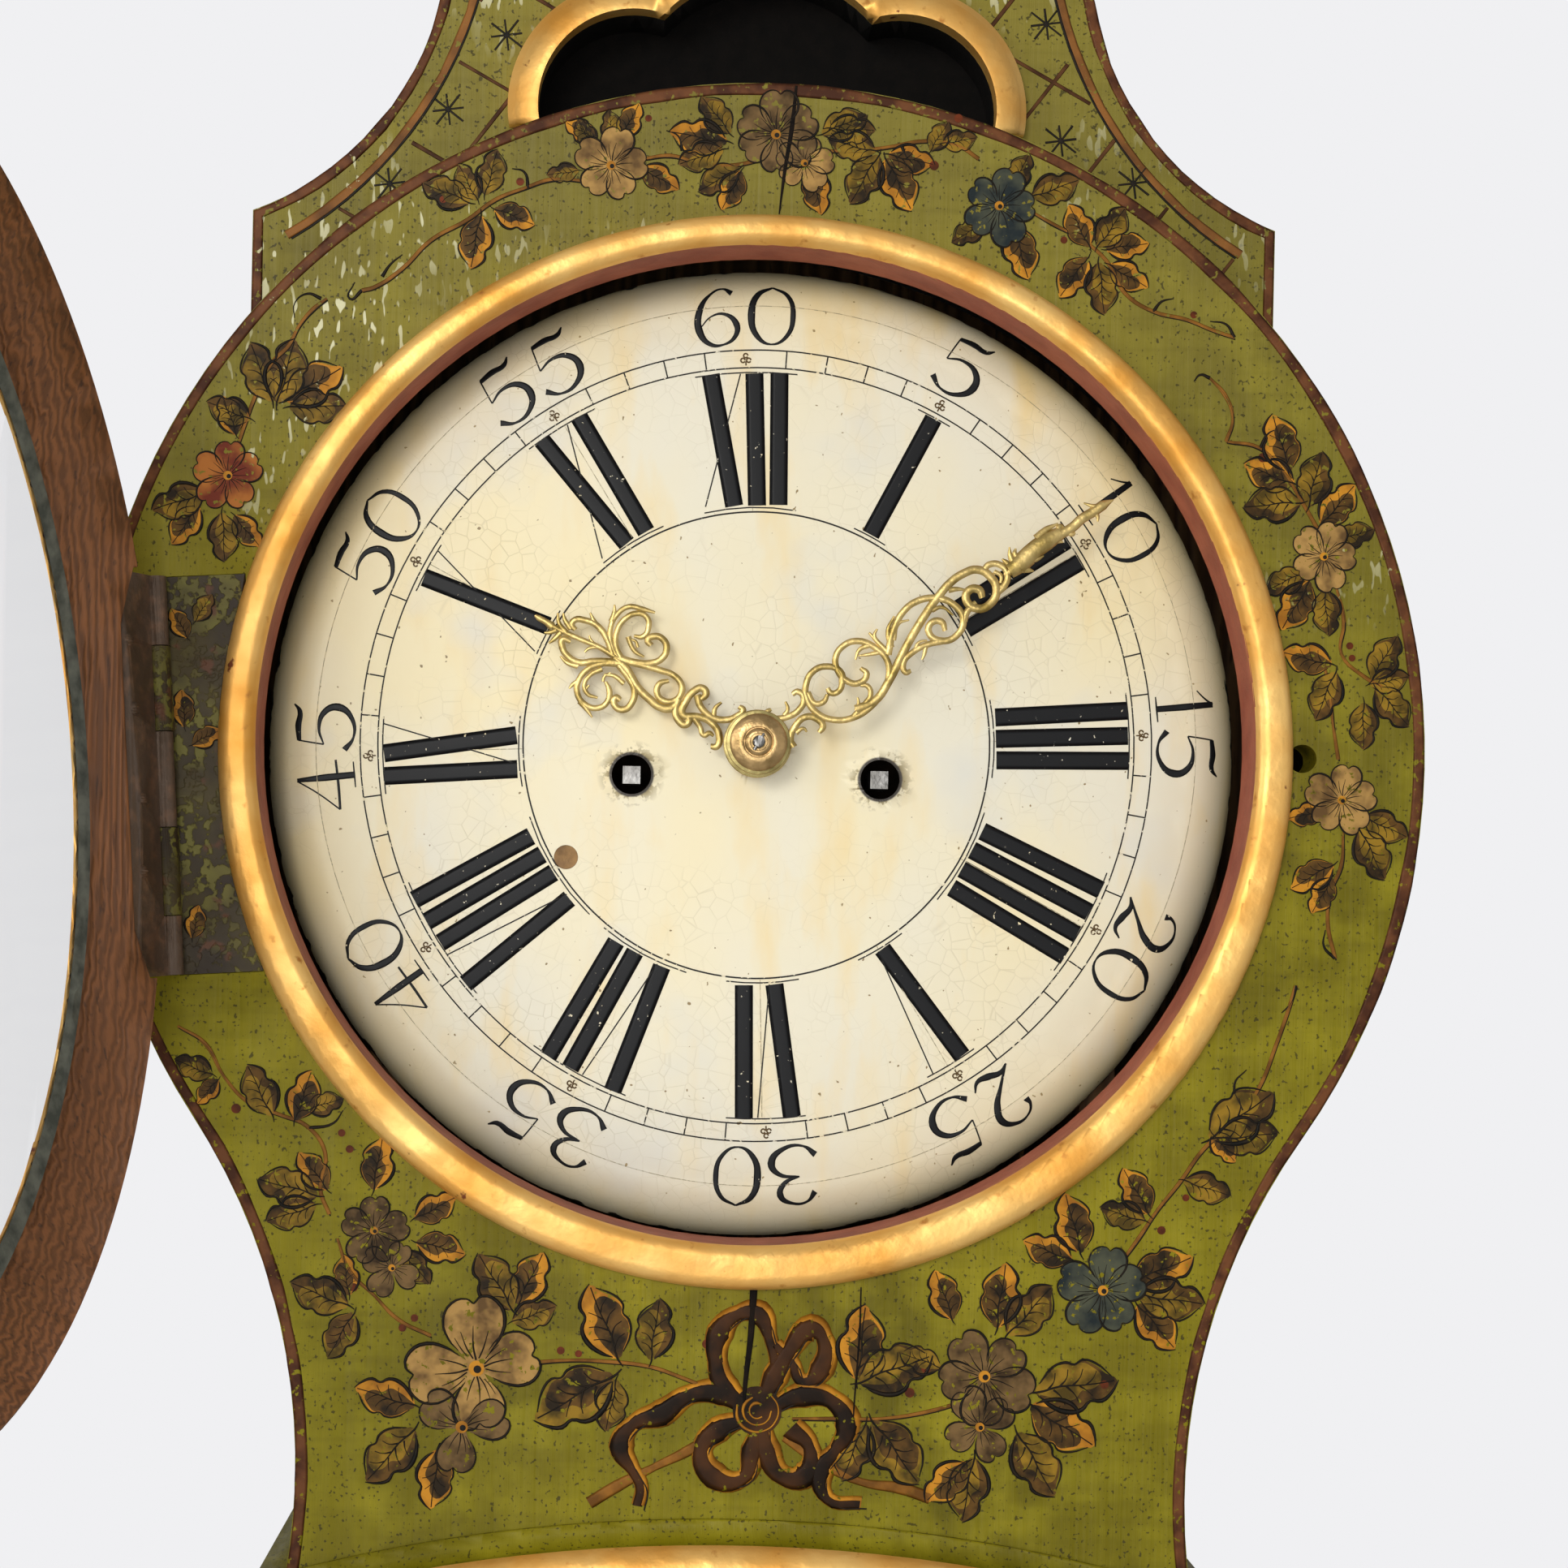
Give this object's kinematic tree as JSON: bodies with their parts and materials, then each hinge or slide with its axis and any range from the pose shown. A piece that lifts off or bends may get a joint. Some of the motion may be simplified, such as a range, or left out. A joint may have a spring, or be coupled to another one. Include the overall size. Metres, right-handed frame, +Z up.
{
  "type": "mora clock",
  "caption": "Tall painted floor clock with a round glazed head, swelling trunk with pendulum door, square base, weights, going train and pierced hands.",
  "frame": {"origin": "middle of the flat underside, on the floor", "axes": "+Z up, -Y towards the viewer of the dial, +X to the right as seen from the front"},
  "size_m": [0.5869, 0.6804, 2.338],
  "materials": {
    "painted_wood": "aged green oil paint with painted flowers",
    "bare_pine": "bare aged pine",
    "black_paint": "dull black paint",
    "door_wood": "bare brown wood behind, gilt in front",
    "gilt_wood": "burnished gilding over gesso",
    "dial_paint": "aged cream paint",
    "dark_iron": "dark forged iron",
    "lock_metal": "old iron and brass",
    "cast_iron": "rough cast iron",
    "gilt_brass": "pale gilt brass",
    "old_brass": "aged brass",
    "steel": "aged steel",
    "window_glass": "clear old glass",
    "putty": "grey-green putty",
    "gut": "twisted gut"
  },
  "bodies": {
    "case": {"bottom_board": "bare_pine", "base_front_panel": "painted_wood", "base_side_panels": "painted_wood", "base_skirting": "painted_wood", "base_cap": "painted_wood", "backboard": "bare_pine", "trunk_sides": "painted_wood", "trunk_front": "painted_wood", "top_ledge": "bare_pine", "seatboard": "bare_pine", "front_plate": "old_brass", "back_plate": "old_brass", "back_cock": "old_brass", "bell": "old_brass", "dial_disc": "dial_paint", "trunk_hinge_case_leaves": "dark_iron", "going_line": "gut", "strike_line": "gut"},
    "head": {"hood_front_board": "painted_wood", "hood_side_band": "painted_wood", "crest_board": "painted_wood", "crest_backing": "black_paint", "crest_moulding": "gilt_wood", "crest_finial": "gilt_wood", "ring_moulding": "gilt_wood", "hood_base_moulding": "gilt_wood", "hinge_case_leaf": "dark_iron"},
    "dial_door": {"dial_door_frame": "door_wood", "dial_door_glass": "window_glass", "glazing_putty": "putty", "hinge_door_leaf": "dark_iron", "catch_pin": "dark_iron"},
    "trunk_door": {"trunk_door_panel": "painted_wood", "lenticle_bezel": "gilt_wood", "lenticle_glass": "window_glass", "trunk_hinge_door_leaves": "dark_iron", "lock_case": "lock_metal"},
    "bolt": {"lock_bolt": "dark_iron"},
    "key": {"trunk_key": "dark_iron"},
    "hands_arbor": {"centre_wheel": "old_brass", "minute_hand": "gilt_brass", "hand_washer": "old_brass"},
    "hour_pipe": {"hour_wheel": "old_brass", "hour_hand": "gilt_brass"},
    "motion_wheel": {"minute_wheel": "old_brass"},
    "third_arbor": {"third_wheel": "old_brass"},
    "escape_arbor": {"escape_wheel": "old_brass"},
    "pallet_arbor": {"pallets": "steel"},
    "going_great": {"going_great_wheel": "old_brass"},
    "strike_great": {"strike_great_wheel": "old_brass"},
    "going_drum": {"going_barrel": "old_brass"},
    "strike_drum": {"strike_barrel": "old_brass"},
    "bell_hammer": {"hammer": "dark_iron"},
    "pendulum": {"pendulum_rod": "steel", "pendulum_bob": "old_brass", "rating_nut": "old_brass"},
    "weight_going": {"going_weight": "cast_iron"},
    "pulley_going": {"going_pulley": "old_brass"},
    "weight_strike": {"strike_weight": "cast_iron"},
    "pulley_strike": {"strike_pulley": "old_brass"}
  },
  "joints": [
    {"name": "head_slide", "type": "slide", "parent": "case", "child": "head", "axis": [0, -1, 0], "range_m": [0, 0.3]},
    {"name": "dial_door_hinge", "type": "hinge", "parent": "head", "child": "dial_door", "pos_m": [-0.228, -0.1446, 1.836], "axis": [0.0663, 0, -0.9978], "range_deg": [-99.3, 30]},
    {"name": "trunk_door_hinge", "type": "hinge", "parent": "case", "child": "trunk_door", "pos_m": [-0.10475, -0.1215, 1], "axis": [0, 0, -1], "range_deg": [0, 150]},
    {"name": "key_turn", "type": "hinge", "parent": "trunk_door", "child": "key", "pos_m": [0.086, -0.118, 1.09], "axis": [0, 1, 0], "range_deg": [0, 180]},
    {"name": "bolt_throw", "type": "slide", "parent": "trunk_door", "child": "bolt", "axis": [1, 0, 0], "range_m": [0, 0.012]},
    {"name": "hands_turn", "type": "hinge", "parent": "case", "child": "hands_arbor", "pos_m": [0.0015, -0.08, 1.8544], "axis": [0, 1, 0], "continuous": true},
    {"name": "hour_turn", "type": "hinge", "parent": "case", "child": "hour_pipe", "pos_m": [0.0015, -0.1, 1.8544], "axis": [0, 1, 0], "continuous": true},
    {"name": "minute_wheel_turn", "type": "hinge", "parent": "case", "child": "motion_wheel", "pos_m": [0.0015, -0.085, 1.8304], "axis": [0, 1, 0], "continuous": true},
    {"name": "third_turn", "type": "hinge", "parent": "case", "child": "third_arbor", "pos_m": [0.0168, -0.047, 1.8809], "axis": [0, 1, 0], "continuous": true},
    {"name": "escape_turn", "type": "hinge", "parent": "case", "child": "escape_arbor", "pos_m": [0.0015, -0.047, 1.90092], "axis": [0, 1, 0], "continuous": true},
    {"name": "going_great_turn", "type": "hinge", "parent": "case", "child": "going_great", "pos_m": [0.0508, -0.068, 1.8417], "axis": [0, 1, 0], "continuous": true},
    {"name": "strike_great_turn", "type": "hinge", "parent": "case", "child": "strike_great", "pos_m": [-0.0478, -0.068, 1.8417], "axis": [0, 1, 0], "continuous": true},
    {"name": "pendulum_swing", "type": "hinge", "parent": "case", "child": "pendulum", "pos_m": [0.0015, 0.024, 1.92792], "axis": [0, 1, 0], "range_deg": [-2.5, 2.5]},
    {"name": "pallet_rock", "type": "hinge", "parent": "case", "child": "pallet_arbor", "pos_m": [0.0015, -0.047, 1.92792], "axis": [0, 1, 0], "range_deg": [-2.6, 2.6]},
    {"name": "hammer_lift", "type": "hinge", "parent": "case", "child": "bell_hammer", "pos_m": [-0.0645, -0.047, 1.9164], "axis": [0, -1, 0], "range_deg": [0, 12], "stiffness_Nm_per_rad": 0.06},
    {"name": "going_weight_lift", "type": "slide", "parent": "case", "child": "weight_going", "axis": [0, 0, 1], "range_m": [0, 1.1], "deforming": ["going_line"]},
    {"name": "strike_weight_lift", "type": "slide", "parent": "case", "child": "weight_strike", "axis": [0, 0, 1], "range_m": [0, 1.1], "deforming": ["strike_line"]},
    {"name": "going_barrel_turn", "type": "hinge", "parent": "case", "child": "going_drum", "pos_m": [0.0508, -0.047, 1.8417], "axis": [0, -1, 0], "range_deg": [0, 5500]},
    {"name": "strike_barrel_turn", "type": "hinge", "parent": "case", "child": "strike_drum", "pos_m": [-0.0478, -0.047, 1.8417], "axis": [0, 1, 0], "range_deg": [0, 5500]},
    {"name": "going_pulley_turn", "type": "hinge", "parent": "weight_going", "child": "pulley_going", "pos_m": [0.0972, -0.047, 0.564], "axis": [0, 1, 0], "range_deg": [0, 2800]},
    {"name": "strike_pulley_turn", "type": "hinge", "parent": "weight_strike", "child": "pulley_strike", "pos_m": [-0.0942, -0.047, 0.564], "axis": [0, -1, 0], "range_deg": [0, 2800]}
  ],
  "couplings": [
    {"joint": "key_turn", "follows": "bolt_throw", "rad_per_m": 261},
    {"joint": "hour_turn", "follows": "hands_turn", "ratio": 0.083333},
    {"joint": "minute_wheel_turn", "follows": "hands_turn", "ratio": -0.33333},
    {"joint": "third_turn", "follows": "hands_turn", "ratio": -7.5},
    {"joint": "escape_turn", "follows": "hands_turn", "ratio": 60},
    {"joint": "going_great_turn", "follows": "hands_turn", "ratio": -0.125},
    {"joint": "pallet_rock", "follows": "pendulum_swing", "ratio": 1},
    {"joint": "going_barrel_turn", "follows": "going_weight_lift", "rad_per_m": 86.207},
    {"joint": "strike_barrel_turn", "follows": "strike_weight_lift", "rad_per_m": 86.207},
    {"joint": "going_pulley_turn", "follows": "going_weight_lift", "rad_per_m": 43.103},
    {"joint": "strike_pulley_turn", "follows": "strike_weight_lift", "rad_per_m": 43.103}
  ]
}
